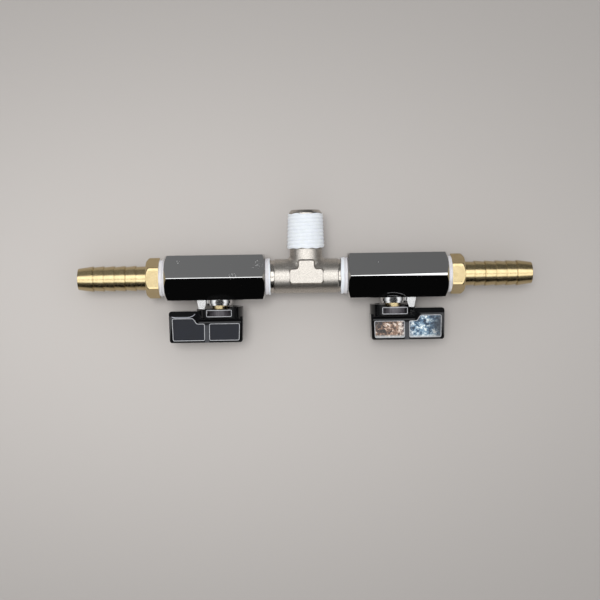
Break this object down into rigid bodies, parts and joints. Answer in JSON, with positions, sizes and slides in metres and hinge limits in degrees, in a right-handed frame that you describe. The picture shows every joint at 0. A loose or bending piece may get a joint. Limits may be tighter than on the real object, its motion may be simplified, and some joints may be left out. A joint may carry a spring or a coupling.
{
  "type": "twin outlet coolant valve manifold",
  "caption": "Coolant valve manifold: a nickel-plated male tee with hexagon ball valves, black quarter-turn handles and brass hose barbs on both run ends.",
  "frame": {"origin": "where the tee's run and branch axes cross, which is the centre of the bounding box within half a millimetre", "axes": "+X along the run to the right-hand hose barb, +Y along the branch to the inlet thread, +Z square to both, out of the tee's front pad; both stems point to -Y"},
  "size_m": [0.1821, 0.0525, 0.0206],
  "materials": {
    "nickel_plated_brass": "satin",
    "chrome_plated_brass": "polished",
    "chromed_ball": "mirror polished",
    "brass": "turned",
    "thread_tape": "soft film",
    "ptfe_seat": "smooth",
    "seal_rubber": "matt",
    "handle_plastic": "glossy",
    "screw_steel": "zinc plated"
  },
  "bodies": {
    "manifold": {"inlet_tee": "nickel_plated_brass", "inlet_thread_tape": "thread_tape", "left_run_tape": "thread_tape", "left_valve_body": "chrome_plated_brass", "left_seat_retainer": "brass", "left_inner_seat": "ptfe_seat", "left_outer_seat": "ptfe_seat", "left_thrust_washer": "ptfe_seat", "left_barb_tape": "thread_tape", "left_hose_barb": "brass", "right_run_tape": "thread_tape", "right_valve_body": "chrome_plated_brass", "right_seat_retainer": "brass", "right_inner_seat": "ptfe_seat", "right_outer_seat": "ptfe_seat", "right_thrust_washer": "ptfe_seat", "right_barb_tape": "thread_tape", "right_hose_barb": "brass"},
    "left_handle_group": {"left_ball": "chromed_ball", "left_stem": "brass", "left_stem_rings": "seal_rubber", "left_handle": "handle_plastic", "left_handle_screw": "screw_steel"},
    "right_handle_group": {"right_ball": "chromed_ball", "right_stem": "brass", "right_stem_rings": "seal_rubber", "right_handle": "handle_plastic", "right_handle_screw": "screw_steel"}
  },
  "joints": [
    {"name": "left_handle_turn", "type": "hinge", "parent": "manifold", "child": "left_handle_group", "pos_m": [-0.0349, 0, 0], "axis": [0, 1, 0], "range_deg": [0, 90]},
    {"name": "right_handle_turn", "type": "hinge", "parent": "manifold", "child": "right_handle_group", "pos_m": [0.0349, 0, 0], "axis": [0, 1, 0], "range_deg": [0, 90]}
  ]
}
